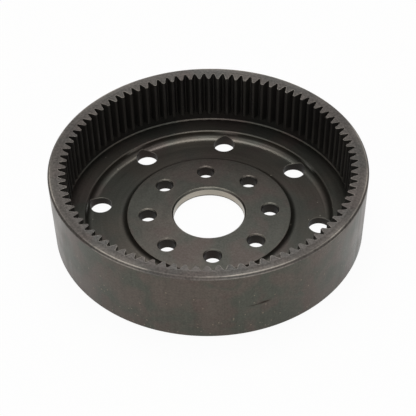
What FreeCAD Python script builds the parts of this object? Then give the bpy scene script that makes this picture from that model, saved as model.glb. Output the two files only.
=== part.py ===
import FreeCAD, Part
import math
import os

# Internal ring gear of a planetary final drive, in millimetres.
# One steel piece: a drum with spur teeth inside its wall, closed at the back by a plate with
# a raised hub. It lies on its back face with the open side up. The origin is the middle of
# the back face and +Z is the gear's axis. A bolt hole of the hub lies on +X.

# Teeth: involute spur teeth that point inwards
tooth_count = 90
tooth_module = 3.0
pressure_angle_deg = 20.0
profile_shift = 0.5
addendum_factor = 1.0
dedendum_factor = 1.25
face_width = 48.0
tooth_turn_deg = -1.4

# Rim: the wall around the teeth
rim_wall = 9.75
drum_height = 77.5
rim_edge_chamfer = 1.8
back_edge_chamfer = 3.5

# Conical chamfer on the open ends of the teeth
tooth_end_margin = 1.75
tooth_end_slope_deg = 12.0

# Relief groove below the teeth, where the cutter runs out, and the ledge under it
relief_depth = 0.25
relief_corner_chamfer = 1.2
ledge_height = 17.4
ledge_width = 20.5
ledge_edge_chamfer = 0.8

# Turned pocket between the ledge and the hub
floor_thickness = 8.5
pocket_corner_radius = 6.5

# Hub with its bore
hub_diameter = 160.0
hub_thickness = 12.5
bore_diameter = 70.0
bore_front_chamfer = 1.5
bore_back_chamfer = 2.5

# Bolt holes in the hub
hub_hole_count = 8
hub_hole_diameter = 17.0
hub_hole_circle = 120.0
hub_hole_chamfer = 0.7

# Larger holes in the floor, which break into the pocket's corner
floor_hole_count = 8
floor_hole_diameter = 22.0
floor_hole_wall_gap = 0.5
floor_hole_turn_deg = -11.6

# How far a cutting tool runs past the metal
tool_overrun = 1.0
full_turn_deg = 360

# Radii that follow from the sizes above
pressure_angle = math.radians(pressure_angle_deg)
pitch_radius = tooth_module * tooth_count / 2
base_radius = pitch_radius * math.cos(pressure_angle)
tip_radius = pitch_radius - tooth_module * (addendum_factor - profile_shift)
root_radius = pitch_radius + tooth_module * (dedendum_factor + profile_shift)
outer_radius = root_radius + rim_wall
relief_radius = root_radius + relief_depth
pocket_radius = relief_radius - ledge_width
hub_radius = hub_diameter / 2
bore_radius = bore_diameter / 2
teeth_bottom = drum_height - face_width

UP = FreeCAD.Vector(0, 0, 1)
ORIGIN = FreeCAD.Vector(0, 0, 0)


def involute(angle):
    """The involute function of an angle in radians."""
    return math.tan(angle) - angle


def flank_pressure_angle(radius):
    """The pressure angle of the flank at a radius."""
    return math.acos(base_radius / radius)


def half_space_angle(radius):
    """Half the angle that a tooth space takes at a radius, between its two flanks."""
    widening = 2 * profile_shift * math.tan(pressure_angle) / tooth_count
    at_pitch = math.pi / (2 * tooth_count) + widening
    return at_pitch + involute(pressure_angle) - involute(flank_pressure_angle(radius))


def polar(radius, angle, z):
    """A point from its distance to the axis, its angle in radians and its height."""
    return FreeCAD.Vector(radius * math.cos(angle), radius * math.sin(angle), z)


def line(start, end):
    """A straight edge."""
    return Part.LineSegment(start, end).toShape()


def flank(side, start, end, z):
    """One flank of a tooth space: the arc through three points of the involute, true to 0.01 mm."""
    points = [polar(r, side * half_space_angle(r), z) for r in (start, (start + end) / 2, end)]
    return Part.Arc(*points).toShape()


def tooth_space():
    """One tooth space as a cutting tool, from inside the relief groove to above the rim."""
    bottom = (ledge_height + teeth_bottom) / 2
    start = max(tip_radius - tool_overrun, base_radius)
    mouth = half_space_angle(start)
    foot = half_space_angle(root_radius)
    root = Part.Arc(*[polar(root_radius, angle, bottom) for angle in (-foot, 0, foot)]).toShape()
    opening = line(polar(start, mouth, bottom), polar(start, -mouth, bottom))
    right_flank = flank(-1, start, root_radius, bottom)
    left_flank = flank(1, start, root_radius, bottom)
    outline = Part.Wire([right_flank, root, left_flank, opening])
    return Part.Face(outline).extrude(UP * (drum_height + tool_overrun - bottom))


def around_axis(shape, count, start_deg):
    """Copies of a shape, evenly round the axis, the first one turned by the start angle."""
    copies = []
    for i in range(count):
        copy = shape.copy()
        copy.rotate(ORIGIN, UP, start_deg + i * full_turn_deg / count)
        copies.append(copy)
    return Part.makeCompound(copies)


def tooth_spaces():
    """All the tooth spaces. The tooth turn places the middle of a tooth, half a pitch from a space."""
    half_pitch_deg = full_turn_deg / tooth_count / 2
    return around_axis(tooth_space(), tooth_count, tooth_turn_deg + half_pitch_deg)


def section_point(radius, z):
    """A point of the turned section, which lies in the plane of X and Z."""
    return FreeCAD.Vector(radius, 0, z)


def corner_arc(start, end, centre, radius):
    """The shorter arc from start to end about a centre."""
    towards_middle = ((start + end) * 0.5 - centre).normalize()
    return Part.Arc(start, centre + towards_middle * radius, end).toShape()


def chain(points):
    """Straight edges from each point to the next."""
    return [line(a, b) for a, b in zip(points, points[1:])]


def hub_side():
    """The hub's face and the hollow corner where it drops to the floor."""
    centre_z = floor_thickness + pocket_corner_radius
    rise_left = centre_z - hub_thickness
    foot_radius = hub_radius + math.sqrt(pocket_corner_radius**2 - rise_left**2)
    bore_edge = section_point(bore_radius + bore_front_chamfer, hub_thickness)
    hub_edge = section_point(hub_radius, hub_thickness)
    foot = section_point(foot_radius, floor_thickness)
    centre = section_point(foot_radius, centre_z)
    floor_end = section_point(pocket_radius - pocket_corner_radius, floor_thickness)
    hub_corner = corner_arc(hub_edge, foot, centre, pocket_corner_radius)
    return [line(bore_edge, hub_edge), hub_corner, line(foot, floor_end)]


def ledge_side():
    """The pocket's rounded corner and wall, the ledge above it and the relief groove's chamfered corner."""
    centre_z = floor_thickness + pocket_corner_radius
    floor_end = section_point(pocket_radius - pocket_corner_radius, floor_thickness)
    wall_start = section_point(pocket_radius, centre_z)
    pocket_centre = section_point(pocket_radius - pocket_corner_radius, centre_z)
    wall_end = section_point(pocket_radius, ledge_height - ledge_edge_chamfer)
    ledge_start = section_point(pocket_radius + ledge_edge_chamfer, ledge_height)
    ledge_end = section_point(relief_radius - relief_corner_chamfer, ledge_height)
    groove_start = section_point(relief_radius, ledge_height + relief_corner_chamfer)
    pocket_corner = corner_arc(floor_end, wall_start, pocket_centre, pocket_corner_radius)
    return [pocket_corner] + chain([wall_start, wall_end, ledge_start, ledge_end, groove_start])


def rim_side():
    """From the relief groove up over the tips of the teeth and the rim, and down the outside."""
    end_radius = root_radius + tooth_end_margin
    end_drop = (end_radius - tip_radius) * math.tan(math.radians(tooth_end_slope_deg))
    return chain([
        section_point(relief_radius, ledge_height + relief_corner_chamfer),
        section_point(relief_radius, teeth_bottom),
        section_point(tip_radius, teeth_bottom),
        section_point(tip_radius, drum_height - end_drop),
        section_point(end_radius, drum_height),
        section_point(outer_radius - rim_edge_chamfer, drum_height),
        section_point(outer_radius, drum_height - rim_edge_chamfer),
        section_point(outer_radius, back_edge_chamfer),
    ])


def back_side():
    """The chamfer at the back, the back face and the bore up to the hub's face."""
    return chain([
        section_point(outer_radius, back_edge_chamfer),
        section_point(outer_radius - back_edge_chamfer, 0),
        section_point(bore_radius + bore_back_chamfer, 0),
        section_point(bore_radius, bore_back_chamfer),
        section_point(bore_radius, hub_thickness - bore_front_chamfer),
        section_point(bore_radius + bore_front_chamfer, hub_thickness),
    ])


def turned_blank():
    """The drum as it leaves the lathe, bored to the tips of the teeth."""
    outline = Part.Wire(hub_side() + ledge_side() + rim_side() + back_side())
    return Part.Face(outline).revolve(ORIGIN, UP, full_turn_deg)


def drill(diameter, height):
    """A straight drill on the axis, from below the back face to above a height."""
    base = FreeCAD.Vector(0, 0, -tool_overrun)
    return Part.makeCylinder(diameter / 2, height + 2 * tool_overrun, base, UP)


def countersink(diameter, chamfer, face_z):
    """A cone on the axis that chamfers a hole's upper edge, at a face's height."""
    base = FreeCAD.Vector(0, 0, face_z - chamfer)
    depth = chamfer + tool_overrun
    return Part.makeCone(diameter / 2, diameter / 2 + depth, depth, base, UP)


def hub_holes():
    """The ring of bolt holes in the hub, with a light chamfer on the hub's face."""
    edge = countersink(hub_hole_diameter, hub_hole_chamfer, hub_thickness)
    tool = drill(hub_hole_diameter, hub_thickness).fuse(edge)
    tool.translate(FreeCAD.Vector(hub_hole_circle / 2, 0, 0))
    return around_axis(tool, hub_hole_count, 0)


def floor_holes():
    """The ring of larger holes beside the pocket's wall."""
    tool = drill(floor_hole_diameter, ledge_height)
    tool.translate(FreeCAD.Vector(pocket_radius - floor_hole_wall_gap - floor_hole_diameter / 2, 0, 0))
    return around_axis(tool, floor_hole_count, floor_hole_turn_deg)


def ring_gear():
    """The finished gear: the turned blank with its teeth cut and its holes drilled."""
    gear = turned_blank()
    for tools in (tooth_spaces(), hub_holes(), floor_holes()):
        gear = gear.cut(tools)
    return gear.Solids[0]


os.makedirs("parts", exist_ok=True)
gear = ring_gear()
gear.exportStep("parts/internal_ring_gear.step")
print("valid", gear.isValid(), "volume", round(gear.Volume), "faces", len(gear.Faces))
print("tip", tip_radius, "root", root_radius, "outer", outer_radius, "pocket", pocket_radius)
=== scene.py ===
"""The dressed model of an internal ring gear, a turned, gear shaped and phosphated steel drum.

The gear is one closed skin. Each of its surfaces is a function of two parameters worked out on a grid
with numpy: turned faces are a path carried round the axis, and the teeth are an outline carried up.
All edges are slightly round, as on the real part, so that they catch the light.
Lengths are millimetres in the classes and metres in the meshes.
"""

import logging
import math
from collections.abc import Callable
from dataclasses import dataclass, field, replace
from enum import IntEnum
from functools import partial
from typing import Any

import bpy
import numpy as np
from mathutils import Matrix, Vector
from numpy.typing import NDArray


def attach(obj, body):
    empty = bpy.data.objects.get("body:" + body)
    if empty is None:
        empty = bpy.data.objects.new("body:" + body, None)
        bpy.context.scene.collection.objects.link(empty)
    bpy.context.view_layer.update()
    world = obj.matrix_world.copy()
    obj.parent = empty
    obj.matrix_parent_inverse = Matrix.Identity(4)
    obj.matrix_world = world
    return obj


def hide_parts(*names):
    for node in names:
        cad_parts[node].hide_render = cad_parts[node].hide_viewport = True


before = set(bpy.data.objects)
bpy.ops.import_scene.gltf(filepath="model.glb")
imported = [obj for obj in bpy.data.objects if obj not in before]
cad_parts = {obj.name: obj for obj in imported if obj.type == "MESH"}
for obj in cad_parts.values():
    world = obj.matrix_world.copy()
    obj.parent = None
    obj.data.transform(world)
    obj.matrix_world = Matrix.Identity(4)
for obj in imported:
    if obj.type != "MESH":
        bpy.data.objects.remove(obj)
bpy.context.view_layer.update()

Array = NDArray[np.float64]
Numbers = NDArray[np.int64]
Tree = bpy.types.NodeTree
Socket = bpy.types.NodeSocket
# The function that adds a node, bound to one tree
Adder = Callable[..., Any]
LOG = logging.getLogger("ring_gear")
TURN = 2 * math.pi
MM = 0.001
WHITE = "FFFFFF"
# Directions: their shares outwards and upwards
UP, DOWN = (0.0, 1.0), (0.0, -1.0)
# The width beside an outer edge over which its wear fades
WEAR_WIDTH = 0.9
# The rows of a path with one corner that lie on its arc
ARC_ROWS = slice(3, -3)
# A size over which a noise doesn't change
ENDLESS = 1e6
# The two kinds of noise, and the values between which most of each lies
FINE_NOISE = {"Detail": 3.0, "Roughness": 0.65}
FINE_RANGE = {"From Min": 0.3, "From Max": 0.7}
CLOUD_NOISE = {"Detail": 3.0, "Roughness": 0.45, "Distortion": 0.3}
CLOUD_RANGE = {"From Min": 0.38, "From Max": 0.62}
UPPER_CLOUD_RANGE = {"From Min": 0.5, "From Max": 0.62}


class Finish(IntEnum):
    """The finishes on the gear's skin, in the order of its material slots."""

    WALL, RIM, HUB, RECESS, TEETH, HOLE, BORE = range(7)


def turned(radius: Array, angle: Array, height: Array) -> Array:
    """Points from polar places: x is r cos a, y is r sin a, z is the height. Directions turn likewise.

    Args:
        radius: distance to the axis, or a direction's share away from it.
        angle: angle round the axis, in radians.
        height: height, or a direction's share upwards.

    Returns:
        An array of the three coordinates, last.
    """
    radius, angle, height = np.broadcast_arrays(radius, angle, height)
    return np.stack([radius * np.cos(angle), radius * np.sin(angle), height], axis=-1)


def raised(flat: Array, height: Array | float) -> Array:
    """Points or directions in a plane, with heights as their third coordinate."""
    return np.concatenate([flat, np.broadcast_to(height, flat.shape[:-1])[..., None]], axis=-1)


def angle_of(places: Array) -> Array:
    """The angles of points or directions round the origin."""
    return np.arctan2(places[..., 1], places[..., 0])


def unit(vectors: Array) -> Array:
    """The vectors at length one."""
    return vectors / np.linalg.norm(vectors, axis=-1, keepdims=True)


def left_of(directions: Array) -> Array:
    """Directions in a plane, turned a quarter turn to the left."""
    return np.stack([-directions[..., 1], directions[..., 0]], axis=-1)


@dataclass(frozen=True)
class Path:
    """Points along a line in a plane, the direction to its left at each, and the wear from 0 to 1."""

    points: Array
    normals: Array
    wear: Array
    steps: int = 4

    def arc(self, number: int) -> int:
        """The row where an arc starts: after the first point, two per line and steps + 1 per arc."""
        return 3 + number * (self.steps + 3)


def rounded_path(
    corners: list[tuple[float, float]] | list[Array], radii: list[float], steps: int = 4
) -> Path:
    """A path of straight lines with a round arc at each inner corner.

    Where the path turns by an angle b, an arc of radius q starts q tan(b/2) before the corner. Its middle
    lies q to the side that the path turns to, and the arc's points lie q from there, against the turning
    direction. An arc that turns right is an outer edge, which is worn. The wear fades evenly over the
    lines beside it, so each line has two more points, where the fading ends.

    Args:
        corners: the path's corners, ends included. The steel is on its right.
        radii: one radius for each inner corner.
        steps: straight pieces in each arc.

    Returns:
        The path.
    """
    corner = np.array(corners)
    radius = np.array(radii)[:, None]
    heading = unit(np.diff(corner, axis=0))
    before, after = heading[:-1], heading[1:]
    cross = before[:, 0] * after[:, 1] - before[:, 1] * after[:, 0]
    bend = np.arctan2(cross, np.sum(before * after, axis=1))[:, None]
    side = np.sign(bend)[..., None]
    reach = radius * np.tan(np.abs(bend) / 2)
    start, end = corner[1:-1] - before * reach, corner[1:-1] + after * reach
    middle = start[:, None] + side * radius[..., None] * left_of(before)[:, None]
    angle = angle_of(before)[:, None] + bend * np.linspace(0, 1, steps + 1)
    arc_normals = np.stack([-np.sin(angle), np.cos(angle)], axis=-1)
    arcs = middle - side * radius[..., None] * arc_normals
    line_start, line_end = np.concatenate([corner[:1], end]), np.concatenate([start, corner[-1:]])
    fade = np.minimum(WEAR_WIDTH, np.linalg.norm(line_end - line_start, axis=1, keepdims=True) / 2)
    fades = np.stack([line_start + heading * fade, line_end - heading * fade], axis=1)
    line_normals = np.repeat(left_of(heading)[:, None], 2, axis=1)
    worn = np.maximum(0, -np.sign(bend))
    none = np.zeros((1, 1))
    beside = np.stack([np.concatenate([none, worn]), np.concatenate([worn, none])], axis=1)
    fade_wear = beside * (1 - fade / WEAR_WIDTH)[:, None]
    arc_wear = np.repeat(worn[:, None], steps + 1, axis=1)

    def in_order(first: Array, line: Array, arc: Array, last: Array) -> Array:
        """The values at the first point, on each line and the arc after it, and at the last point."""
        turns = np.concatenate([line[:-1], arc], axis=1).reshape(-1, first.shape[-1])
        return np.concatenate([first, turns, line[-1], last])

    return Path(
        in_order(corner[:1], fades, arcs, corner[-1:]),
        in_order(line_normals[0, :1], line_normals, arc_normals, line_normals[-1, :1]),
        in_order(none, fade_wear, arc_wear, none),
        steps,
    )


class Skin:
    """Grids and seams of points that are gathered into one closed mesh."""

    def __init__(self) -> None:
        """Starts an empty skin."""
        self.parts: list[tuple[Array, Array, Array, Numbers, Numbers]] = []
        self.count = 0

    def keep(self, points: Array, normals: Array, wear: Array, faces: Numbers, finish: Finish) -> None:
        """Keeps faces of four corners, each turned so that it points the way its own normals do.

        Args:
            points: points, in millimetres.
            normals: the surface's outward direction at each point.
            wear: how worn the coating is at each point.
            faces: rows of four point numbers, counted in this call. A triangle repeats its last.
            finish: the finish of these faces.
        """
        points, normals = points.reshape(-1, 3), unit(normals.reshape(-1, 3))
        corner = points[faces]
        across = np.cross(corner[:, 2] - corner[:, 0], corner[:, 3] - corner[:, 1])
        backwards = np.sum(across * normals[faces].sum(axis=1), axis=1) < 0
        faces = np.where(backwards[:, None], faces[:, ::-1], faces) + self.count
        self.parts.append((points, normals, wear.reshape(-1), faces, np.full(len(faces), int(finish))))
        self.count += len(points)

    def grid(
        self, points: Array, normals: Array, finish: Finish, closed: bool = True, wear: Array | float = 0.0
    ) -> None:
        """Adds one grid of points or a stack of grids.

        Args:
            points: an array (..., rows, columns, 3).
            normals: directions out of the steel, an array that can be repeated to that shape.
            finish: the finish of its faces.
            closed: whether the last column is joined to the first.
            wear: how worn the coating is, for all points or one value for each.
        """
        rows, columns = points.shape[-3:-1]
        number = np.arange(points[..., 0].size).reshape(-1, rows, columns)
        if closed:
            number = np.concatenate([number, number[..., :1]], axis=-1)
        corners = [number[:, :-1, :-1], number[:, 1:, :-1], number[:, 1:, 1:], number[:, :-1, 1:]]
        faces = np.stack(corners, axis=-1).reshape(-1, 4)
        normals, wear = np.broadcast_to(normals, points.shape), np.broadcast_to(wear, points.shape[:-1])
        self.keep(points, normals, wear, faces, finish)

    def turn(self, path: Path, angles: Array, finish: Finish, rows: slice = slice(None)) -> None:
        """Carries a path of radii and heights round the axis.

        Args:
            path: the path, with the steel on its right.
            angles: angles of the columns, once round.
            finish: the finish of its faces.
            rows: the part of the path that is used.
        """
        points = turned(path.points[rows, :1], angles, path.points[rows, 1:])
        facing = turned(path.normals[rows, :1], angles, path.normals[rows, 1:])
        self.grid(points, facing, finish, wear=path.wear[rows])

    def seam(
        self, radii: tuple[float, float], heights: tuple[float, float], angles: tuple[Array, Array],
        facing: tuple[float, float], finish: Finish,
    ) -> None:
        """Joins two rings of different counts round the axis with triangles.

        The edges of both rings are taken in the order of their middles' angles. Each edge makes a
        triangle with the point that the other ring has reached by then.

        Args:
            radii: the radius of each ring.
            heights: the height of each ring.
            angles: their points' angles, which rise.
            facing: the direction out of the steel, outwards and upwards.
            finish: the finish of the triangles.
        """
        sizes = [len(ring) for ring in angles]
        middles = [np.mod(ring + np.mod(np.roll(ring, -1) - ring, TURN) / 2, TURN) for ring in angles]
        of_first = np.argsort(np.concatenate(middles), kind="stable") < sizes[0]
        passed = np.cumsum(of_first) - of_first, np.cumsum(~of_first) - ~of_first
        first, second = (
            np.argsort(middle, kind="stable")[number % size]
            for middle, number, size in zip(middles, passed, sizes)
        )
        onward = np.where(of_first, (first + 1) % sizes[0], sizes[0] + (second + 1) % sizes[1])
        faces = np.stack([first, onward, sizes[0] + second, sizes[0] + second], axis=-1)
        every = np.concatenate(angles)
        points = turned(np.repeat(radii, sizes), every, np.repeat(heights, sizes))
        self.keep(points, turned(facing[0], every, facing[1]), np.zeros(len(every)), faces, finish)

    def mesh(self, name: str) -> bpy.types.Mesh:
        """Welds the points that lie on each other and makes the mesh, with the surface's own normals.

        Args:
            name: the mesh's name.

        Returns:
            The closed mesh, in metres.
        """
        points, normals, wear, faces, finishes = map(np.concatenate, zip(*self.parts))
        points = points * MM
        _, kept, welded = np.unique(np.round(points, 8), axis=0, return_index=True, return_inverse=True)
        welded = welded.reshape(-1)
        corners = welded[faces]
        single = corners != np.roll(corners, -1, axis=1)
        count = single.sum(axis=1)
        polygons: list[list[int]] = []
        facing, slots = [], []
        for size in (3, 4):
            rows = count == size
            chosen = single[rows]
            polygons += corners[rows][chosen].reshape(-1, size).tolist()
            facing.append(normals[faces[rows][chosen]])
            slots.append(finishes[rows])
        made = bpy.data.meshes.new(name)
        made.from_pydata(points[kept].tolist(), [], polygons)
        made.polygons.foreach_set("material_index", np.concatenate(slots))
        made.polygons.foreach_set("use_smooth", np.ones(len(polygons), bool))
        made.normals_split_custom_set(np.concatenate(facing).tolist())
        worn = np.zeros(len(kept))
        np.maximum.at(worn, welded, wear)
        made.attributes.new("wear", "FLOAT", "POINT").data.foreach_set("value", worn)
        made.update()
        return made


@dataclass
class FaceLine:
    """The line that a turned face follows: flat at a height, then up a hollow corner if it has one.

    Up to the flat's end the radius is the length itself. Past it the line is an arc of radius q about a
    point q above the flat: at an angle a the radius is the flat's end plus q sin a, and the height is
    raised by q - q cos a.
    """

    height: float
    up: float = 1.0
    flat_end: float = math.inf
    corner_radius: float = 1.0

    def at(self, length: Array) -> tuple[Array, Array]:
        """Radii with heights, and directions out of the steel, at lengths along the line.

        Args:
            length: lengths along the line, which are radii on the flat.

        Returns:
            Radii and heights, last axis 2, and the same for the directions.
        """
        angle = np.maximum(length - self.flat_end, 0) / self.corner_radius
        radius = np.minimum(length, self.flat_end) + self.corner_radius * np.sin(angle)
        height = self.height + self.corner_radius * (1 - np.cos(angle))
        facing = np.stack([-np.sin(angle), self.up * np.cos(angle)], axis=-1)
        return np.stack([radius, height], axis=-1), facing

    def along(self, radius: Array) -> Array:
        """The lengths at which the line reaches radii."""
        share = np.clip((radius - self.flat_end) / self.corner_radius, 0, 1)
        return np.minimum(radius, self.flat_end) + self.corner_radius * np.arcsin(share)


@dataclass
class HoleRing:
    """A ring of drilled holes. A flat strip, the rim, goes with each hole's wall."""

    count: int
    circle: float
    radius: float
    turn_deg: float
    chamfer: float
    rim: float
    edge: float = 0.15
    steps: int = 3

    @property
    def turns(self) -> Array:
        """The angles of the holes' middles round the axis."""
        return np.radians(self.turn_deg) + TURN * np.arange(self.count) / self.count

    def reach(self, front: bool) -> float:
        """The radius round a hole's middle where the face begins, at the front or the back."""
        return self.radius + self.rim + (self.chamfer if front else 0.0)

    def add_walls(self, skin: Skin, line: FaceLine, directions: Array, finish: Finish) -> None:
        """Adds the holes' walls with the round edges at both ends.

        The wall is a path of distances to the hole's middle and heights, carried round it. Its front end
        is lifted to the height that the face has there. The edges take the finishes of their faces.

        Args:
            skin: the skin that takes them.
            line: the line of the face that the holes break into.
            directions: angles of the points round each hole.
            finish: the finish of that face.
        """
        corners = [(self.reach(False), 0.0), (self.radius, 0.0)]
        if self.chamfer:
            corners.append((self.radius, line.height - self.chamfer))
        corners += [(self.radius + self.chamfer, line.height), (self.reach(True), line.height)]
        path = rounded_path(corners, [self.edge] * (len(corners) - 2), self.steps)
        distance, height = path.points[:, :1], path.points[:, 1:]
        across, aside = self.circle + distance * np.cos(directions), distance * np.sin(directions)
        radius, turns = np.hypot(across, aside), self.turns[:, None, None]
        face, facing = line.at(line.along(radius))
        at_front = height > line.height / 2
        lifted = height + np.where(at_front, face[..., 1] - line.height, 0)
        outward, upward = path.normals[:, :1], path.normals[:, 1:]
        tilt = np.where(at_front, facing[..., 0], 0) * np.maximum(upward, 0)
        rise = np.where(at_front, facing[..., 1], 1) * upward
        angle = np.arctan2(aside, across) + turns
        points = turned(radius, angle, lifted)
        facing = turned(outward, directions + turns, rise) + turned(tilt, angle, 0.0)
        wall_start, wall_end = path.arc(0) + self.steps, path.arc(1) - 1
        for rows, kind in (
            (slice(0, wall_start + 1), Finish.RIM),
            (slice(wall_start, wall_end + 1), Finish.HOLE),
            (slice(wall_end, None), finish),
        ):
            skin.grid(points[:, rows], facing[:, rows], kind, wear=path.wear[rows])


@dataclass
class PiercedFace:
    """A turned face with a ring of holes.

    Each hole has a block of its own, a patch between two radii and two angles. Inside it the points run
    from the hole's edge to the block's border in equal shares, both taken as lengths along the face's
    line and angles. The gaps between the blocks are plain grids of lengths and angles.
    """

    line: FaceLine
    holes: HoleRing
    lengths: Array
    block_deg: float
    finish: Finish
    front: bool = True
    gap_steps: int = 20
    levels: int = 7

    @property
    def across(self) -> Array:
        """The angles over one block, from its middle."""
        return np.radians(np.linspace(-self.block_deg, self.block_deg, len(self.lengths)))

    @property
    def between(self) -> Array:
        """The angles over one gap, from the middle of the block before it."""
        return np.linspace(self.across[-1], TURN / self.holes.count + self.across[0], self.gap_steps + 1)

    @property
    def ring(self) -> Array:
        """The angles of all the columns, once round."""
        sector = np.concatenate([self.across[:-1], self.between[:-1]])
        return (self.holes.turns[:, None] + sector).reshape(-1)

    @property
    def directions(self) -> Array:
        """The angles of the points round each hole, from the corner where the block's border starts."""
        sides = 4 * (len(self.lengths) - 1)
        return TURN * (np.arange(sides) / sides - 3 / 8)

    def add(self, skin: Skin) -> None:
        """Adds the blocks round the holes and the gaps between them.

        Args:
            skin: the skin that takes them.
        """
        reach = self.holes.reach(self.front)
        x, y = self.holes.circle + reach * np.cos(self.directions), reach * np.sin(self.directions)
        edge = self.line.along(np.hypot(x, y)), np.arctan2(y, x)
        lengths, across = self.lengths, self.across
        side = np.ones(len(lengths) - 1)
        border = (
            np.concatenate([lengths[:-1], lengths[-1] * side, lengths[:0:-1], lengths[0] * side]),
            np.concatenate([across[0] * side, across[:-1], across[-1] * side, across[:0:-1]]),
        )
        share = np.linspace(0, 1, self.levels + 1)[:, None]
        blocks = [(1 - share) * inner + share * outer for inner, outer in zip(edge, border)]
        for (length, angle), closed in ((blocks, True), ((lengths[:, None], self.between), False)):
            place, facing = self.line.at(length)
            turn = angle + self.holes.turns[:, None, None]
            normals = turned(facing[..., 0], turn, facing[..., 1])
            skin.grid(turned(place[..., 0], turn, place[..., 1]), normals, self.finish, closed)


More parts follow.
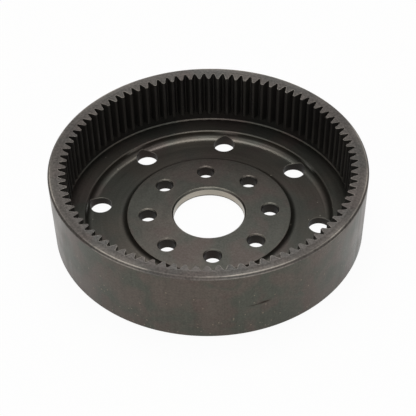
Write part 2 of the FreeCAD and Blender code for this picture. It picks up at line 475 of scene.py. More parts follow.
@dataclass
class Teeth:
    """The ring of inward involute teeth."""

    count: int = 90
    module: float = 3.0
    pressure_deg: float = 20.0
    shift: float = 0.5
    addendum: float = 1.0
    dedendum: float = 1.25
    turn_deg: float = -1.4
    bottom: float = 29.5
    end_margin: float = 1.75
    end_slope_deg: float = 12.0
    tip_edge: float = 1.2
    tip_steps: int = 3
    root_edge: float = 0.5
    end_edge: float = 0.14
    end_rows: int = 4
    end_line: float = 0.3
    flank_points: int = 6
    land_points: int = 3
    # The wear on the round edges of the teeth's ends, which also paints their edge highlight
    end_wear_and_highlight: float = 0.7

    def __post_init__(self) -> None:
        """Works out the circles of the gear and the slope of the teeth's ends."""
        self.pressure = math.radians(self.pressure_deg)
        self.slope = math.radians(self.end_slope_deg)
        self.pitch_radius = self.module * self.count / 2
        self.base_radius = self.pitch_radius * math.cos(self.pressure)
        self.tip_radius = self.pitch_radius - self.module * (self.addendum - self.shift)
        self.root_radius = self.pitch_radius + self.module * (self.dedendum + self.shift)
        self.end_radius = self.root_radius + self.end_margin

    def lean(self, radius: Array) -> Array:
        """The pressure angle of the flank at a radius, whose cosine is the base radius over it."""
        return np.arccos(self.base_radius / radius)

    def half_space(self, radius: Array) -> Array:
        """Half the angle of a tooth space at a radius.

        It is a quarter of the pitch angle, plus the widening by the profile shift, plus the involute of
        the pressure angle, less that of the flank's lean. An angle's involute is its tangent less itself.

        Args:
            radius: distances to the axis.

        Returns:
            The angles, in radians.
        """
        lean = self.lean(radius)
        widening = 2 * self.shift * math.tan(self.pressure) / self.count
        at_pitch = math.pi / (2 * self.count) + widening + math.tan(self.pressure) - self.pressure
        return at_pitch - np.tan(lean) + lean

    def corner(self, radius: float) -> tuple[Array, Array, Array]:
        """The corner between a flank and a circle.

        Args:
            radius: the circle's radius.

        Returns:
            The corner and the directions along the circle to the space's middle and up the flank.
        """
        half = float(self.half_space(np.array(radius)))
        rise = float(self.lean(np.array(radius))) - half
        along = np.array([math.sin(half), math.cos(half)])
        return turned(radius, -half, 0.0)[:2], along, np.array([math.cos(rise), math.sin(rise)])

    def half_outline(self) -> tuple[Array, Array, Array]:
        """The outline from the middle of a tooth to the middle of the next space, on the x axis.

        It is the land on the tip circle, a round edge, the flank, a round corner and the root circle.

        Returns:
            Points, the directions out of the steel, and the wear, (n, 2), (n, 2) and (n, 1).
        """
        tip, along_tip, up_tip = self.corner(self.tip_radius)
        root, along_root, up_root = self.corner(self.root_radius)
        edge = rounded_path([tip - along_tip, tip, tip + up_tip], [self.tip_edge], self.tip_steps)
        foot = rounded_path([root - up_root, root, root + along_root], [self.root_edge])
        edge_points, foot_points = edge.points[ARC_ROWS], foot.points[ARC_ROWS]
        land_end = math.atan2(*edge_points[0, ::-1])
        land_angles = np.linspace(-math.pi / self.count, land_end, self.land_points)[:-1]
        land = turned(self.tip_radius, land_angles, 0.0)[:, :2]
        ends = np.linalg.norm(edge_points[-1]), np.linalg.norm(foot_points[0])
        radius = np.linspace(*ends, self.flank_points + 1)[1:-1]
        angle = -self.half_space(radius)
        heading = angle + self.lean(radius)
        flank = turned(radius, angle, 0.0)[:, :2]
        flank_normals = np.stack([-np.sin(heading), np.cos(heading)], axis=-1)
        normals = [-unit(land), edge.normals[ARC_ROWS], flank_normals, foot.normals[ARC_ROWS], [[-1.0, 0.0]]]
        points = np.concatenate([land, edge_points, flank, foot_points, [[self.root_radius, 0.0]]])
        wear = np.zeros((len(points), 1))
        # The tip's round edge is rubbed lighter, which also paints a faint highlight along it
        wear[len(land) : len(land) + len(edge_points)] = 1.0
        return points, np.concatenate(normals), wear

    def outline(self) -> tuple[Array, Array, Array]:
        """The whole outline, once round: each half outline and its mirror image, turned to each space.

        Returns:
            Points and the directions out of the steel, (n, 2), and the wear, (n,).
        """
        mirror = np.array([1.0, -1.0])
        turns = np.radians(self.turn_deg) + TURN * (np.arange(self.count) + 0.5) / self.count
        cosine, sine = np.cos(turns)[:, None, None], np.sin(turns)[:, None, None]
        *placed, wear = self.half_outline()
        whole = []
        for half in placed:
            pitch = np.concatenate([half, half[-2:0:-1] * mirror])
            x, y = pitch[:, :1], pitch[:, 1:]
            around = np.concatenate([x * cosine - y * sine, x * sine + y * cosine], axis=-1)
            whole.append(around.reshape(-1, 2))
        return whole[0], whole[1], np.tile(np.concatenate([wear, wear[-2:0:-1]])[:, 0], self.count)

    def end_height(self, radius: Array | float, top: float) -> Array:
        """The height of the teeth's open ends, which fall towards the axis at an even slope."""
        return top - (self.end_radius - radius) * math.tan(self.slope)

    def add(self, skin: Skin, top: float, angles: Array, groove_radius: float) -> None:
        """Adds the flanks, the round edges of the ends, and the seams to the turned surfaces.

        Args:
            skin: the skin that takes them.
            top: the height of the rim.
            angles: the angles of the turned surfaces' columns.
            groove_radius: the radius of the relief groove below the teeth.
        """
        outline, normals, wear = self.outline()
        sweep = np.linspace(0, math.pi / 2, self.end_rows)[:, None, None]
        place = outline - normals * self.end_edge * (1 - np.cos(sweep))
        lowered = self.end_edge * (1 - np.sin(sweep[..., 0]))
        edge = raised(place, self.end_height(np.linalg.norm(place, axis=-1), top) - lowered)
        foot, side = raised(outline, self.bottom), raised(normals, 0.0)
        slope = -math.sin(self.slope), math.cos(self.slope)
        end_normal = turned(slope[0], angle_of(place[-1]), slope[1])
        skin.grid(np.stack([foot, edge[0]]), side, Finish.TEETH, wear=wear)
        edge_normals = side * np.cos(sweep) + end_normal * np.sin(sweep)
        # The ends' round edges: rubbed steel whose bright worn colour also paints the edge highlight
        skin.grid(edge, edge_normals, Finish.RIM, wear=self.end_wear_and_highlight)
        inset = place[-1] - normals * self.end_line
        inset = raised(inset, self.end_height(np.linalg.norm(inset, axis=-1), top))
        skin.grid(np.stack([edge[-1], inset]), end_normal, Finish.RIM)
        inner, ring = self.root_radius + self.end_edge + 2 * self.end_line, angle_of(inset)
        inner_height = self.end_height(inner, top)
        inner_ring = turned(inner, ring, inner_height)
        skin.grid(np.stack([inset, inner_ring]), end_normal, Finish.RIM)
        skin.seam((inner, self.end_radius), (inner_height, top), (ring, angles), slope, Finish.RIM)
        step, ring = (groove_radius + self.root_radius) / 2, angle_of(outline)
        skin.seam((groove_radius, step), (self.bottom,) * 2, (angles, ring), DOWN, Finish.TEETH)
        step_ring = turned(step, ring, self.bottom)
        skin.grid(np.stack([step_ring, foot]), turned(DOWN[0], ring, DOWN[1]), Finish.TEETH)


@dataclass
class RingGear:
    """The whole gear, in one closed skin.

    Each pierced face ends a gap before its edge. The paths end in narrow strips on the flats and walls,
    past which the columns or the finish change. The faces round the two rings of holes meet at the back
    seam. Every pierced face has as many rows, so that its blocks are closed; on the floor some of them
    are on the flat and the rest in the hollow corner.
    """

    teeth: Teeth = field(default_factory=Teeth)
    outer_radius: float = 150.0
    height: float = 77.5
    rim_chamfer: float = 1.8
    back_chamfer: float = 3.5
    groove_radius: float = 140.5
    groove_chamfer: float = 1.2
    ledge_height: float = 17.4
    ledge_chamfer: float = 0.8
    recess_radius: float = 120.0
    recess_corner: float = 6.5
    floor_height: float = 8.5
    hub_radius: float = 80.0
    hub_height: float = 12.5
    bore_radius: float = 35.0
    bore_front_chamfer: float = 1.5
    bore_back_chamfer: float = 2.5
    edge: float = 0.25
    soft_edge: float = 0.5
    hub_edge: float = 0.35
    hub_edge_room: float = 0.625
    rim_wear: float = 0.22
    lower_wear: float = 0.5
    columns: int = 360
    rows: int = 15
    flat_rows: int = 7
    hollow_rows: int = 10
    gap: float = 0.8
    strip: float = 1.0
    back_seam: tuple[float, float] = (82.0, 88.0)

    def __post_init__(self) -> None:
        """Sets out the holes and the faces that they break into."""
        self.skin = Skin()
        self.hub_holes = HoleRing(count=8, circle=60.0, radius=8.5, turn_deg=0.0, chamfer=0.7, rim=0.7)
        self.floor_holes = HoleRing(
            count=8, circle=108.5, radius=11.0, turn_deg=-11.6, chamfer=0.0, rim=0.45
        )
        self.angles = TURN * np.arange(self.columns) / self.columns
        corner, gap = self.recess_corner, self.gap
        middle_above = self.floor_height + corner - self.hub_height
        self.foot_radius = self.hub_radius + math.sqrt(corner**2 - middle_above**2)
        flat_end = self.recess_radius - corner
        back_line = FaceLine(0.0, up=-1.0)
        floor_lengths = np.concatenate([
            np.linspace(self.foot_radius + 2 * self.strip, flat_end, self.flat_rows)[:-1],
            flat_end + np.linspace(0, corner * math.pi / 2, self.rows - self.flat_rows + 1),
        ])
        self.hub_face = PiercedFace(
            FaceLine(self.hub_height), self.hub_holes,
            np.linspace(self.bore_radius + self.bore_front_chamfer + gap, self.hub_radius - gap, self.rows),
            block_deg=15.0, finish=Finish.HUB,
        )
        self.floor = PiercedFace(
            FaceLine(self.floor_height, 1.0, flat_end, corner), self.floor_holes, floor_lengths,
            block_deg=10.0, finish=Finish.RECESS,
        )
        self.hub_back = PiercedFace(
            back_line, self.hub_holes,
            np.linspace(self.bore_radius + self.bore_back_chamfer + gap, self.back_seam[0], self.rows),
            block_deg=15.0, finish=Finish.RIM, front=False,
        )
        self.floor_back = PiercedFace(
            back_line, self.floor_holes,
            np.linspace(self.back_seam[1], self.outer_radius - self.back_chamfer - gap, self.rows),
            block_deg=13.0, finish=Finish.RIM, front=False,
        )

    def add_bore(self) -> None:
        """Adds the bore, from the back face up to the hub's face. Only its wall is bright; its chamfer is
        painted shade.
        """
        ring, radius, strip = self.hub_face.ring, self.bore_radius, self.strip
        low, high = self.bore_back_chamfer, self.hub_height - self.bore_front_chamfer
        corners = [(self.hub_back.lengths[0], 0.0), (radius + low, 0.0), (radius, low), (radius, low + strip)]
        self.skin.turn(rounded_path(corners, [self.edge] * 2), ring, Finish.RIM)
        for start, end in ((low + strip, low + 2 * strip), (low + 2 * strip, high - strip)):
            self.skin.turn(rounded_path([(radius, start), (radius, end)], []), ring, Finish.BORE)
        chamfer_end = radius + self.bore_front_chamfer
        corners = [(radius, high - strip), (radius, high), (chamfer_end, self.hub_height)]
        corners.append((self.hub_face.lengths[0], self.hub_height))
        mouth = rounded_path(corners, [self.edge, self.soft_edge])
        # The wall's top strip and the chamfer get the darker recess coat and no wear: painted shade for the
        # chamfer's dark reflection
        mouth_painted_dark = replace(mouth, wear=np.zeros_like(mouth.wear))
        last_row = mouth.arc(1) - 1
        self.skin.turn(mouth_painted_dark, ring, Finish.RECESS, slice(0, last_row + 1))
        self.skin.turn(mouth, ring, Finish.HUB, slice(last_row, None))

    def add_hub_step(self) -> None:
        """Adds the hub's edge and the hollow corner down to the floor, then the seam to the floor."""
        ring, corner = self.hub_face.ring, self.recess_corner
        centre = np.array([self.foot_radius, self.floor_height + corner])
        first = math.atan2(self.hub_height - centre[1], self.hub_radius - centre[0]) % TURN
        sweep = np.linspace(first + self.hub_edge_room / corner, 1.5 * math.pi, self.hollow_rows)
        spokes = np.stack([np.cos(sweep), np.sin(sweep)], axis=-1)
        hollow = centre + corner * spokes
        top = [(radius, self.hub_height) for radius in (self.hub_face.lengths[-1], self.hub_radius)]
        edge = rounded_path([*top, tuple(hollow[0])], [self.hub_edge])
        foot = np.array([[self.foot_radius + self.strip, self.floor_height]])
        path = Path(
            np.concatenate([edge.points, hollow[1:], foot]),
            np.concatenate([edge.normals, -spokes[1:], [[0.0, 1.0]]]),
            np.concatenate([edge.wear, np.zeros((len(hollow), 1))]),
        )
        self.skin.turn(path, ring, Finish.RECESS)
        radii, heights = (foot[0, 0], self.floor.lengths[0]), (self.floor_height,) * 2
        self.skin.seam(radii, heights, (ring, self.floor.ring), UP, Finish.RECESS)

    def add_ledge(self) -> None:
        """Adds the recess's wall, the ledge and the relief groove up to the teeth. The groove's wall is
        painted shade.
        """
        wall, groove_wall, height = self.recess_radius, self.groove_radius, self.ledge_height
        inner = (wall + groove_wall) / 2
        outer = inner + 2 * self.strip
        corners = [(wall, self.floor_height + self.recess_corner), (wall, height - self.ledge_chamfer)]
        corners += [(wall + self.ledge_chamfer, height), (inner, height)]
        self.skin.turn(rounded_path(corners, [self.edge] * 2), self.floor.ring, Finish.RECESS)
        rings = self.floor.ring, self.angles
        self.skin.seam((inner, outer), (height, height), rings, UP, Finish.RECESS)
        corners = [(outer, height), (groove_wall - self.groove_chamfer, height)]
        corners += [(groove_wall, height + self.groove_chamfer), (groove_wall, self.teeth.bottom)]
        groove = rounded_path(corners, [self.soft_edge] * 2)
        wall_start = groove.arc(1)
        self.skin.turn(groove, self.angles, Finish.RECESS, slice(0, wall_start + 1))
        # The groove's wall takes the dark tooth coat: painted shade in the groove
        self.skin.turn(groove, self.angles, Finish.TEETH, slice(wall_start, None))

    def add_rim(self) -> None:
        """Adds the rim's face and its chamfer, the outer wall, the chamfer at the back and its seam.

        Hands have rubbed the rim's face more the nearer it is to the outside, and the chamfer's lower
        edge less than the upper one.
        """
        top, outside, inside = self.height, self.outer_radius, self.teeth.end_radius
        shoulder, wall_top = outside - self.rim_chamfer, top - self.rim_chamfer
        corners = [(inside, top), (shoulder, top), (outside, wall_top), (outside, wall_top - self.strip)]
        flat = rounded_path(corners, [self.edge] * 2)
        radius, height = flat.points[:, :1], flat.points[:, 1:]
        across = (radius - inside) / (shoulder - inside)
        wear = np.where(height == top, np.maximum(flat.wear, self.rim_wear * across), flat.wear)
        wear = np.where(height < top - self.rim_chamfer / 2, self.lower_wear * wear, wear)
        self.skin.turn(replace(flat, wear=wear), self.angles, Finish.RIM)
        back = outside - self.back_chamfer
        corners = [(outside, wall_top - self.strip), (outside, self.back_chamfer), (back, 0.0)]
        corners.append((back - self.gap / 2, 0.0))
        self.skin.turn(rounded_path(corners, [self.edge] * 2), self.angles, Finish.WALL)
        radii = corners[-1][0], self.floor_back.lengths[-1]
        self.skin.seam(radii, (0.0, 0.0), (self.angles, self.floor_back.ring), DOWN, Finish.RIM)

    def build(self) -> bpy.types.Object:
        """Builds the gear's skin, from the bore outwards, over the rim and back underneath, and dresses it.

        Returns:
            The gear as a Blender object.
        """
        skin = self.skin
        self.add_bore()
        self.hub_face.add(skin)
        self.add_hub_step()
        self.floor.add(skin)
        self.add_ledge()
        self.teeth.add(skin, self.height, self.angles, self.groove_radius)
        self.add_rim()
        self.floor_back.add(skin)
        self.hub_back.add(skin)
        rings = self.hub_back.ring, self.floor_back.ring
        skin.seam(self.back_seam, (0.0, 0.0), rings, DOWN, Finish.RIM)
        self.hub_holes.add_walls(skin, self.hub_face.line, self.hub_face.directions, Finish.HUB)
        self.floor_holes.add_walls(skin, self.floor.line, self.floor.directions, Finish.RECESS)
        gear = in_scene("ring_gear", skin.mesh("ring_gear"))
        self.dress(gear)
        return gear

    def dress(self, gear: bpy.types.Object) -> None:
        """Gives the gear one material slot for each finish, in the order that its faces count them."""
        for finish in Finish:
            gear.data.materials.append(FINISHES[finish].material())


def in_scene(name: str, data: bpy.types.ID) -> bpy.types.Object:
    """Puts an object into the scene.

    Args:
        name: its name.
        data: its mesh, lamp or camera.

    Returns:
        The object.
    """
    made = bpy.data.objects.new(name, data)
    bpy.context.scene.collection.objects.link(made)
    return made


def linear(hex_colour: str) -> tuple[float, float, float, float]:
    """A colour written in hex, as the linear values that Blender reads.

    Args:
        hex_colour: six hex digits.

    Returns:
        Red, green, blue and an alpha of 1.
    """
    parts = np.array([int(hex_colour[i : i + 2], 16) for i in (0, 2, 4)]) / 255
    values = np.where(parts <= 0.04045, parts / 12.92, ((parts + 0.055) / 1.055) ** 2.4)
    return (*map(float, values), 1.0)


def add_node(tree: Tree, kind: str, inputs: dict[str | int, Any], **settings: Any) -> Any:
    """Adds a node with its inputs and its settings.

    Args:
        tree: the tree that gets it.
        kind: the node's type.
        inputs: values or output sockets, by the input's name or number.
        settings: properties of the node.

    Returns:
        The node's outputs, by name or number.
    """
    node = tree.nodes.new(kind)
    for name, value in settings.items():
        setattr(node, name, value)
    for name, value in inputs.items():
        if isinstance(value, bpy.types.NodeSocket):
            tree.links.new(value, node.inputs[name])
        else:
            node.inputs[name].default_value = value
    return node.outputs


@dataclass(frozen=True)
class Marks:
    """Tool marks: a noise that changes over these sizes, in millimetres.

    It reads x and y over `across`, and as its third place the radius over `outward` plus the height over
    `upward`. Marks side by side outwards are turned rings on a face, marks side by side upwards are
    turned or drilled rings on a wall, and marks that only change slowly upwards are the strokes of a
    grinding or a gear shaping tool. Real marks are 0.2 to 0.4 mm apart, too fine to show, so they are
    drawn a few millimetres apart.
    """

    across: float
    outward: float
    upward: float
    depth: float
    contrast: float


@dataclass(frozen=True)
class Grain:
    """The coating's crystals, in millimetres. Real ones are 0.05 mm, too fine to show, so coarser here."""

    size: float = 1.5
    depth: float = 0.006
    contrast: float = 0.10


@dataclass(frozen=True)
class Specks:
    """Specks of rust and dust: round spots in some cells of a random pattern, in groups, fewer higher up.

    Cell, group and the ceiling above which there are none are millimetres. A spot's radius is a share of
    its cell.
    """

    colour: str
    cell: float
    radius: float
    chance: float
    group: float
    ceiling: float
    strength: float


@dataclass(frozen=True)
class Scratch:
    """A dark scratch on the outer wall: an ellipse in arc length and height, in millimetres."""

    angle_deg: float
    height: float
    length: float
    width: float
    tilt_deg: float
    strength: float


@dataclass(frozen=True)
class SteelFinish:
    """Phosphated steel: a thin crystal coating, dark, satin and oiled, that shows the tool marks under it.

    The eye sees a brown grey coat with broad clouds of a greener and a redder grey, a fine grain, faint
    tool marks and brighter steel where edges are rubbed. Sizes are millimetres.
    """

    name: str
    colour: str
    cloud_colour: str
    tint_colour: str
    worn_colour: str
    roughness: float
    marks: Marks
    grain: Grain = Grain()
    metallic: float = 1.0
    cloud_size: float = 48.0
    roughness_swing: float = 0.03
    worn_share: float = 0.75
    worn_least: float = 0.6
    patch_least: float = 0.12
    tint_share: float = 0.6
    specks: Specks | None = None
    scratches: tuple[Scratch, ...] = ()
    scratch_colour: str = "261B15"

    def material(self) -> bpy.types.Material:
        """Makes the material.

        Returns:
            The material, named for the steel and how it was made.
        """
        made = bpy.data.materials.new(self.name)
        made.use_nodes = True
        tree = made.node_tree
        add = partial(add_node, tree)
        sockets = tree.nodes["Principled BSDF"].inputs
        sockets["Metallic"].default_value = self.metallic
        metres = add("ShaderNodeTexCoord", {})["Object"]
        place = add("ShaderNodeVectorMath", {0: metres, "Scale": 1 / MM}, operation="SCALE")[0]
        marks = self.tool_marks(add, place)
        inputs = {"Vector": place, "Scale": 1 / self.grain.size, **FINE_NOISE}
        grain = add("ShaderNodeTexNoise", inputs)["Fac"]
        inputs = {"Vector": place, "Scale": 1 / self.cloud_size, **CLOUD_NOISE}
        clouds = add("ShaderNodeTexNoise", inputs)["Color"]
        layers = add("ShaderNodeSeparateXYZ", {0: clouds})
        uneven = add("ShaderNodeMix", {0: 0.5, 2: layers[2], 3: marks}, data_type="FLOAT")[0]
        low, high = self.roughness - self.roughness_swing, self.roughness + self.roughness_swing
        inputs = {"Value": uneven, **CLOUD_RANGE, "To Min": low, "To Max": high}
        roughness = add("ShaderNodeMapRange", inputs)[0]
        masks = [(self.wear(add, grain, layers[2]), self.worn_colour)]
        masks += [(self.scratch_mask(add, place, each), self.scratch_colour) for each in self.scratches]
        if self.specks:
            spots = self.speck_mask(add, place, self.specks)
            masks.append((spots, self.specks.colour))
            roughness = add("ShaderNodeMath", {0: roughness, 1: spots}, operation="MAXIMUM")[0]
            metal = add("ShaderNodeMath", {0: self.metallic, 1: spots}, operation="SUBTRACT")[0]
            tree.links.new(metal, sockets["Metallic"])
        colour = self.coating(add, (layers[0], layers[1]), marks, grain)
        for share, over in masks:
            colour = add("ShaderNodeMix", {0: share, 6: colour, 7: linear(over)}, data_type="RGBA")[2]
        rings = add("ShaderNodeBump", {"Height": marks, "Distance": self.marks.depth * MM})[0]
        relief = add("ShaderNodeBump", {
            "Height": grain, "Distance": self.grain.depth * MM, "Normal": rings,
        })[0]
        for name, value in (("Base Color", colour), ("Roughness", roughness), ("Normal", relief)):
            tree.links.new(value, sockets[name])
        return made

    def tool_marks(self, add: Adder, place: Socket) -> Socket:
        """The tool marks.

        Args:
            add: adds a node to the material.
            place: places in millimetres.

        Returns:
            A noise from 0 to 1, about 0.5.
        """
        flat = add("ShaderNodeVectorMath", {0: place, 1: (1, 1, 0)}, operation="MULTIPLY")[0]
        radius = add("ShaderNodeVectorMath", {0: flat}, operation="LENGTH")["Value"]
        shares = 1 / self.marks.across, 1 / self.marks.across, 1 / self.marks.upward
        drift = add("ShaderNodeVectorMath", {0: place, 1: shares}, operation="MULTIPLY")[0]
        rings = add("ShaderNodeMath", {0: radius, 1: self.marks.outward}, operation="DIVIDE")[0]
        outward = add("ShaderNodeCombineXYZ", {"Z": rings})[0]
        reading = add("ShaderNodeVectorMath", {0: drift, 1: outward}, operation="ADD")[0]
        return add("ShaderNodeTexNoise", {"Vector": reading, "Scale": 1.0, **FINE_NOISE})["Fac"]

    def coating(self, add: Adder, clouds: tuple[Socket, Socket], marks: Socket, grain: Socket) -> Socket:
        """The coating's colour: the brown grey with its clouds, made lighter and darker along two noises.

        Args:
            add: adds a node to the material.
            clouds: two broad noises, for the greener and the redder grey.
            marks: the noise of the tool marks.
            grain: the noise of the crystals.

        Returns:
            The colour.
        """
        colour = linear(self.colour)
        tints = (self.cloud_colour, CLOUD_RANGE, 1.0), (self.tint_colour, UPPER_CLOUD_RANGE, self.tint_share)
        for cloud, (tint, span, most) in zip(clouds, tints):
            inputs = {"Value": cloud, **span, "To Max": most}
            share = add("ShaderNodeMapRange", inputs, interpolation_type="SMOOTHSTEP")[0]
            colour = add("ShaderNodeMix", {0: share, 6: colour, 7: linear(tint)}, data_type="RGBA")[2]
        for noise, contrast in ((marks, self.marks.contrast), (grain, self.grain.contrast)):
            inputs = {"Value": noise, **FINE_RANGE, "To Min": 1 - contrast, "To Max": 1 + contrast}
            light = add("ShaderNodeMapRange", inputs, clamp=False)[0]
            colour = add("ShaderNodeVectorMath", {0: colour, "Scale": light}, operation="SCALE")[0]
        return colour

    def wear(self, add: Adder, grain: Socket, patches: Socket) -> Socket:
        """Where the coating is rubbed thin: along the edges, in patches, more between the grain than on it.

        Args:
            add: adds a node to the material.
            grain: the noise of the crystals.
            patches: a broad noise.

        Returns:
            The share of worn steel, from 0 to 1.
        """
        worn = add("ShaderNodeAttribute", {}, attribute_name="wear")["Fac"]
        least, most = self.worn_least * self.worn_share, self.worn_share
        fine = add("ShaderNodeMapRange", {"Value": grain, **FINE_RANGE, "To Min": least, "To Max": most})[0]
        inputs = {"Value": patches, **CLOUD_RANGE, "To Min": self.patch_least}
        broad = add("ShaderNodeMapRange", inputs, interpolation_type="SMOOTHSTEP")[0]
        rubbed = add("ShaderNodeMath", {0: worn, 1: fine}, operation="MULTIPLY")[0]
        return add("ShaderNodeMath", {0: rubbed, 1: broad}, operation="MULTIPLY")[0]

    def speck_mask(self, add: Adder, place: Socket, specks: Specks) -> Socket:
        """The specks: each cell's middle is a spot if the cell's random value allows it.

        The value allowed rises from 0 at the ceiling to twice the chance at the bottom, and within that
        from 0 between the groups to the whole of it in them.

        Args:
            add: adds a node to the material.
            place: places in millimetres.
            specks: their sizes and number.

        Returns:
            The strength in the middle of a spot, 0 outside it.
        """
        cells = add("ShaderNodeTexVoronoi", {"Vector": place, "Scale": 1 / specks.cell})
        chance = add("ShaderNodeSeparateXYZ", {0: cells["Color"]})[0]
        groups = add("ShaderNodeTexNoise", {"Vector": place, "Scale": 1 / specks.group})["Fac"]
        height = add("ShaderNodeSeparateXYZ", {0: place})["Z"]
        inputs = {"Value": height, "From Min": specks.ceiling, "From Max": 0.0, "To Max": 2 * specks.chance}
        low = add("ShaderNodeMapRange", inputs)[0]
        allowed = add("ShaderNodeMapRange", {"Value": groups, **CLOUD_RANGE, "To Max": low})[0]
        picked = add("ShaderNodeMath", {0: chance, 1: allowed}, operation="LESS_THAN")[0]
        spot = add("ShaderNodeMapRange", {
            "Value": cells["Distance"], "From Min": specks.radius, "From Max": 0.5 * specks.radius,
            "To Max": specks.strength,
        })[0]
        return add("ShaderNodeMath", {0: spot, 1: picked}, operation="MULTIPLY")[0]

    def scratch_mask(self, add: Adder, place: Socket, scratch: Scratch) -> Socket:
        """A scratch's mask, which falls from its middle to 0 at the border of its ellipse.

        A Mapping node turns the wall so that the scratch is at the origin and along y, and the height
        along z. Both over half the scratch's size make one vector, and the mask falls with its length.

        Args:
            add: adds a node to the material.
            place: places in millimetres.
            scratch: the scratch.

        Returns:
            The mask, from 0 to the scratch's strength.
        """
        wall, angle = RingGear.outer_radius, math.radians(scratch.angle_deg)
        there = add("ShaderNodeMapping", {
            "Vector": place, "Location": tuple(turned(wall, angle, scratch.height)),
            "Rotation": (math.radians(scratch.tilt_deg), 0.0, angle),
            "Scale": (wall, scratch.length / 2, scratch.width / 2),
        }, vector_type="TEXTURE")[0]
        away = add("ShaderNodeVectorMath", {0: there}, operation="LENGTH")["Value"]
        inputs = {"Value": away, "From Min": 1.0, "From Max": 0.1, "To Max": scratch.strength}
        return add("ShaderNodeMapRange", inputs, interpolation_type="SMOOTHSTEP")[0]


FINISHES = {
    # Ground: soft upright streaks, the smoothest coat, with small rust specks low down and a dark scratch
    Finish.WALL: SteelFinish(
        "phosphated_ground_steel", "5D5650", "52534C", "5E534E", "9A9286", 0.33,
        Marks(across=5.0, outward=ENDLESS, upward=60.0, depth=0.006, contrast=0.08),
        Grain(1.8, 0.006, 0.18), cloud_size=26.0, roughness_swing=0.06, worn_share=0.4,
        specks=Specks("A3947E", 2.6, 0.34, 0.18, group=30.0, ceiling=60.0, strength=0.45),
        scratches=(
            Scratch(285.6, 39.4, 17.0, 3.6, tilt_deg=4.0, strength=0.9),
            Scratch(282.9, 38.2, 26.0, 2.2, tilt_deg=1.0, strength=0.65),
        ),
    ),
    # Turned and handled: a rough, grainy grey coat with fine rings, its outer edges rubbed bright; on the
    # teeth's ends partly a painted highlight
    Finish.RIM: SteelFinish(
        "phosphated_turned_steel", "635E5A", "5C5A57", "635A56", "C6BEB3", 0.48,
        Marks(across=90.0, outward=1.6, upward=60.0, depth=0.012, contrast=0.14),
        Grain(2.2, 0.016, 0.34), worn_share=1.0,
    ),
    # Faced: an even satin coat in which the holes' edges shine a little
    Finish.HUB: SteelFinish(
        "phosphated_faced_steel", "7A746D", "6F6F68", "7A6E69", "A39C90", 0.37,
        Marks(across=70.0, outward=2.2, upward=60.0, depth=0.004, contrast=0.04),
        Grain(1.7, 0.006, 0.17), cloud_size=36.0, worn_share=0.6,
    ),
    # Turned deep inside: a little darker than the hub, with a few pale dust specks. Also painted shade on the
    # bore's chamfer
    Finish.RECESS: SteelFinish(
        "phosphated_turned_recess_steel_and_painted_chamfer_shade", "69645D", "60605A", "6A5F5B", "A39C90", 0.41,
        Marks(across=70.0, outward=2.4, upward=60.0, depth=0.006, contrast=0.06),
        Grain(1.7, 0.006, 0.12), worn_share=0.22,
        specks=Specks("C8C0B0", 6.0, 0.12, 0.05, group=60.0, ceiling=40.0, strength=0.6),
    ),
    # Gear shaped: upright strokes and an oily dark coat, with a faint lighter line along each tooth's tip,
    # rubbed steel and partly a painted highlight
    # The same dark coat lies on the relief groove's wall as painted shade
    Finish.TEETH: SteelFinish(
        "phosphated_shaped_steel_and_painted_groove_shade", "302E2C", "2D2C2A", "302D2B", "7A746B", 0.40,
        Marks(across=1.4, outward=ENDLESS, upward=30.0, depth=0.008, contrast=0.12),
        Grain(1.2, 0.005, 0.12), metallic=0.4, worn_share=0.15,
    ),
    # Drilled: dark bores with rings across
    Finish.HOLE: SteelFinish(
        "phosphated_drilled_steel", "35322F", "2E2C2A", "372F2C", "8E877C", 0.45,
        Marks(across=60.0, outward=ENDLESS, upward=1.8, depth=0.015, contrast=0.14), worn_share=0.4,
    ),
    # Bored bright after the coating: pale bare steel
    Finish.BORE: SteelFinish(
        "bored_steel", "AFA99E", "A39D92", "ABA297", "C0BAAF", 0.25,
        Marks(across=60.0, outward=ENDLESS, upward=1.6, depth=0.004, contrast=0.05), Grain(1.5, 0.001, 0.03),
    ),
}


@dataclass(frozen=True)
class Softbox:
    """A square soft lamp that faces the gear. Its place and side are metres, its power watts."""

    name: str
    place: tuple[float, float, float]
    side: float
    power: float


SOFTBOXES = (
    Softbox("top_softbox", (0.0, 0.15, 1.8), 1.2, 16.0),
    Softbox("back_softbox", (0.0, 2.2, 0.6), 1.0, 8.5),
    Softbox("front_softbox", (0.0, -1.4, 1.5), 0.8, 4.0),
    Softbox("left_softbox", (-1.5, -1.1, 1.2), 0.8, 3.4),
    Softbox("right_softbox", (1.5, -1.1, 1.2), 0.8, 1.4),
)


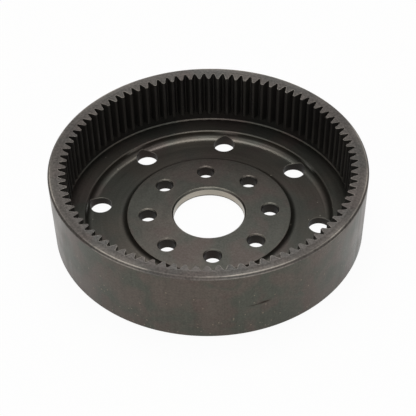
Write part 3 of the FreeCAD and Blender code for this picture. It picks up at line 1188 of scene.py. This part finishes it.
@dataclass
class Studio:
    """The pale floor, the soft lights and the camera.

    The camera's lens, sensor, distance and target are millimetres, the other lengths metres.
    """

    lens: float = 89.82
    sensor: float = 36.0
    distance: float = 1012.95
    elevation_deg: float = 43.07
    azimuth_deg: float = 267.6
    roll_deg: float = -1.103
    target: tuple[float, float, float] = (-0.884, 0.037, 17.62)
    far_clip: float = 20.0
    floor_side: float = 8.0
    floor_colour: str = "F4F3F0"
    floor_white: float = 0.95
    mirrored_white: float = 0.54
    sky_level: float = 0.29
    lamp_aim: tuple[float, float, float] = (0.0, 0.0, 0.04)

    def add_camera(self) -> None:
        """Places the camera: out from its target at its azimuth and elevation, looking back and rolled."""
        azimuth, elevation = math.radians(self.azimuth_deg), math.radians(self.elevation_deg)
        data = bpy.data.cameras.new("camera")
        data.lens = self.lens
        data.sensor_width = self.sensor
        data.clip_end = self.far_clip
        camera = in_scene("camera", data)
        turn = Matrix.Rotation(azimuth + TURN / 4, 4, "Z") @ Matrix.Rotation(TURN / 4 - elevation, 4, "X")
        turn @= Matrix.Rotation(math.radians(self.roll_deg), 4, "Z")
        back = turned(math.cos(elevation), azimuth, math.sin(elevation))
        place = (np.array(self.target) + self.distance * back) * MM
        camera.matrix_world = Matrix.Translation(Vector(place)) @ turn
        bpy.context.scene.camera = camera

    def add_floor(self) -> None:
        """Adds the floor: paper with the gear's shadow, nearly white to the eye, half so to the steel."""
        half = self.floor_side / 2
        corners = [(-half, -half, 0), (half, -half, 0), (half, half, 0), (-half, half, 0)]
        mesh = bpy.data.meshes.new("floor")
        mesh.from_pydata(corners, [], [(0, 1, 2, 3)])
        floor = in_scene("floor", mesh)
        made = bpy.data.materials.new("pale_paper_floor")
        made.use_nodes = True
        tree = made.node_tree
        add = partial(add_node, tree)
        tree.nodes.remove(tree.nodes["Principled BSDF"])
        rays = add("ShaderNodeLightPath", {})
        inputs = {0: rays["Is Glossy Ray"], 1: self.mirrored_white}
        mirrored = add("ShaderNodeMath", inputs, operation="MULTIPLY")[0]
        inputs = {0: rays["Is Camera Ray"], 2: mirrored, 3: self.floor_white}
        share = add("ShaderNodeMix", inputs, data_type="FLOAT")[0]
        paper = add("ShaderNodeBsdfDiffuse", {"Color": linear(self.floor_colour)})[0]
        white = add("ShaderNodeEmission", {"Color": linear(WHITE), "Strength": 1.0})[0]
        mix = add("ShaderNodeMixShader", {0: share, 1: paper, 2: white})[0]
        tree.links.new(mix, tree.nodes["Material Output"].inputs["Surface"])
        mesh.materials.append(made)

    def add_world(self) -> None:
        """Lights the scene with a plain pale sky, white to the camera."""
        world = bpy.data.worlds.new("studio_sky")
        bpy.context.scene.world = world
        world.use_nodes = True
        tree = world.node_tree
        add = partial(add_node, tree)
        background = tree.nodes["Background"].inputs
        rays = add("ShaderNodeLightPath", {})
        inputs = {0: rays["Is Camera Ray"], 2: self.sky_level, 3: 1.0}
        level = add("ShaderNodeMix", inputs, data_type="FLOAT")[0]
        tree.links.new(level, background["Strength"])
        background["Color"].default_value = linear(WHITE)

    def add_softbox(self, box: Softbox) -> None:
        """Adds a soft lamp.

        Args:
            box: the lamp's name, place, size and power.
        """
        data = bpy.data.lights.new(box.name, "AREA")
        data.shape = "SQUARE"
        data.size = box.side
        data.energy = box.power
        lamp = in_scene(box.name, data)
        lamp.location = box.place
        lamp.rotation_mode = "QUATERNION"
        lamp.rotation_quaternion = (Vector(self.lamp_aim) - Vector(box.place)).to_track_quat("-Z", "Y")

    def build(self) -> None:
        """Builds the studio."""
        self.add_camera()
        self.add_floor()
        self.add_world()
        for box in SOFTBOXES:
            self.add_softbox(box)
        bpy.context.scene.view_settings.view_transform = "Standard"


def main() -> None:
    """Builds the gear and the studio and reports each."""
    logging.basicConfig(level=logging.INFO, format="%(message)s")
    gear = RingGear().build()
    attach(gear, "root")
    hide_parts("internal_ring_gear")
    LOG.info("ring gear: %d points, %d faces", len(gear.data.vertices), len(gear.data.polygons))
    Studio().build()
    LOG.info("studio built")


if __name__ == "__main__":
    main()
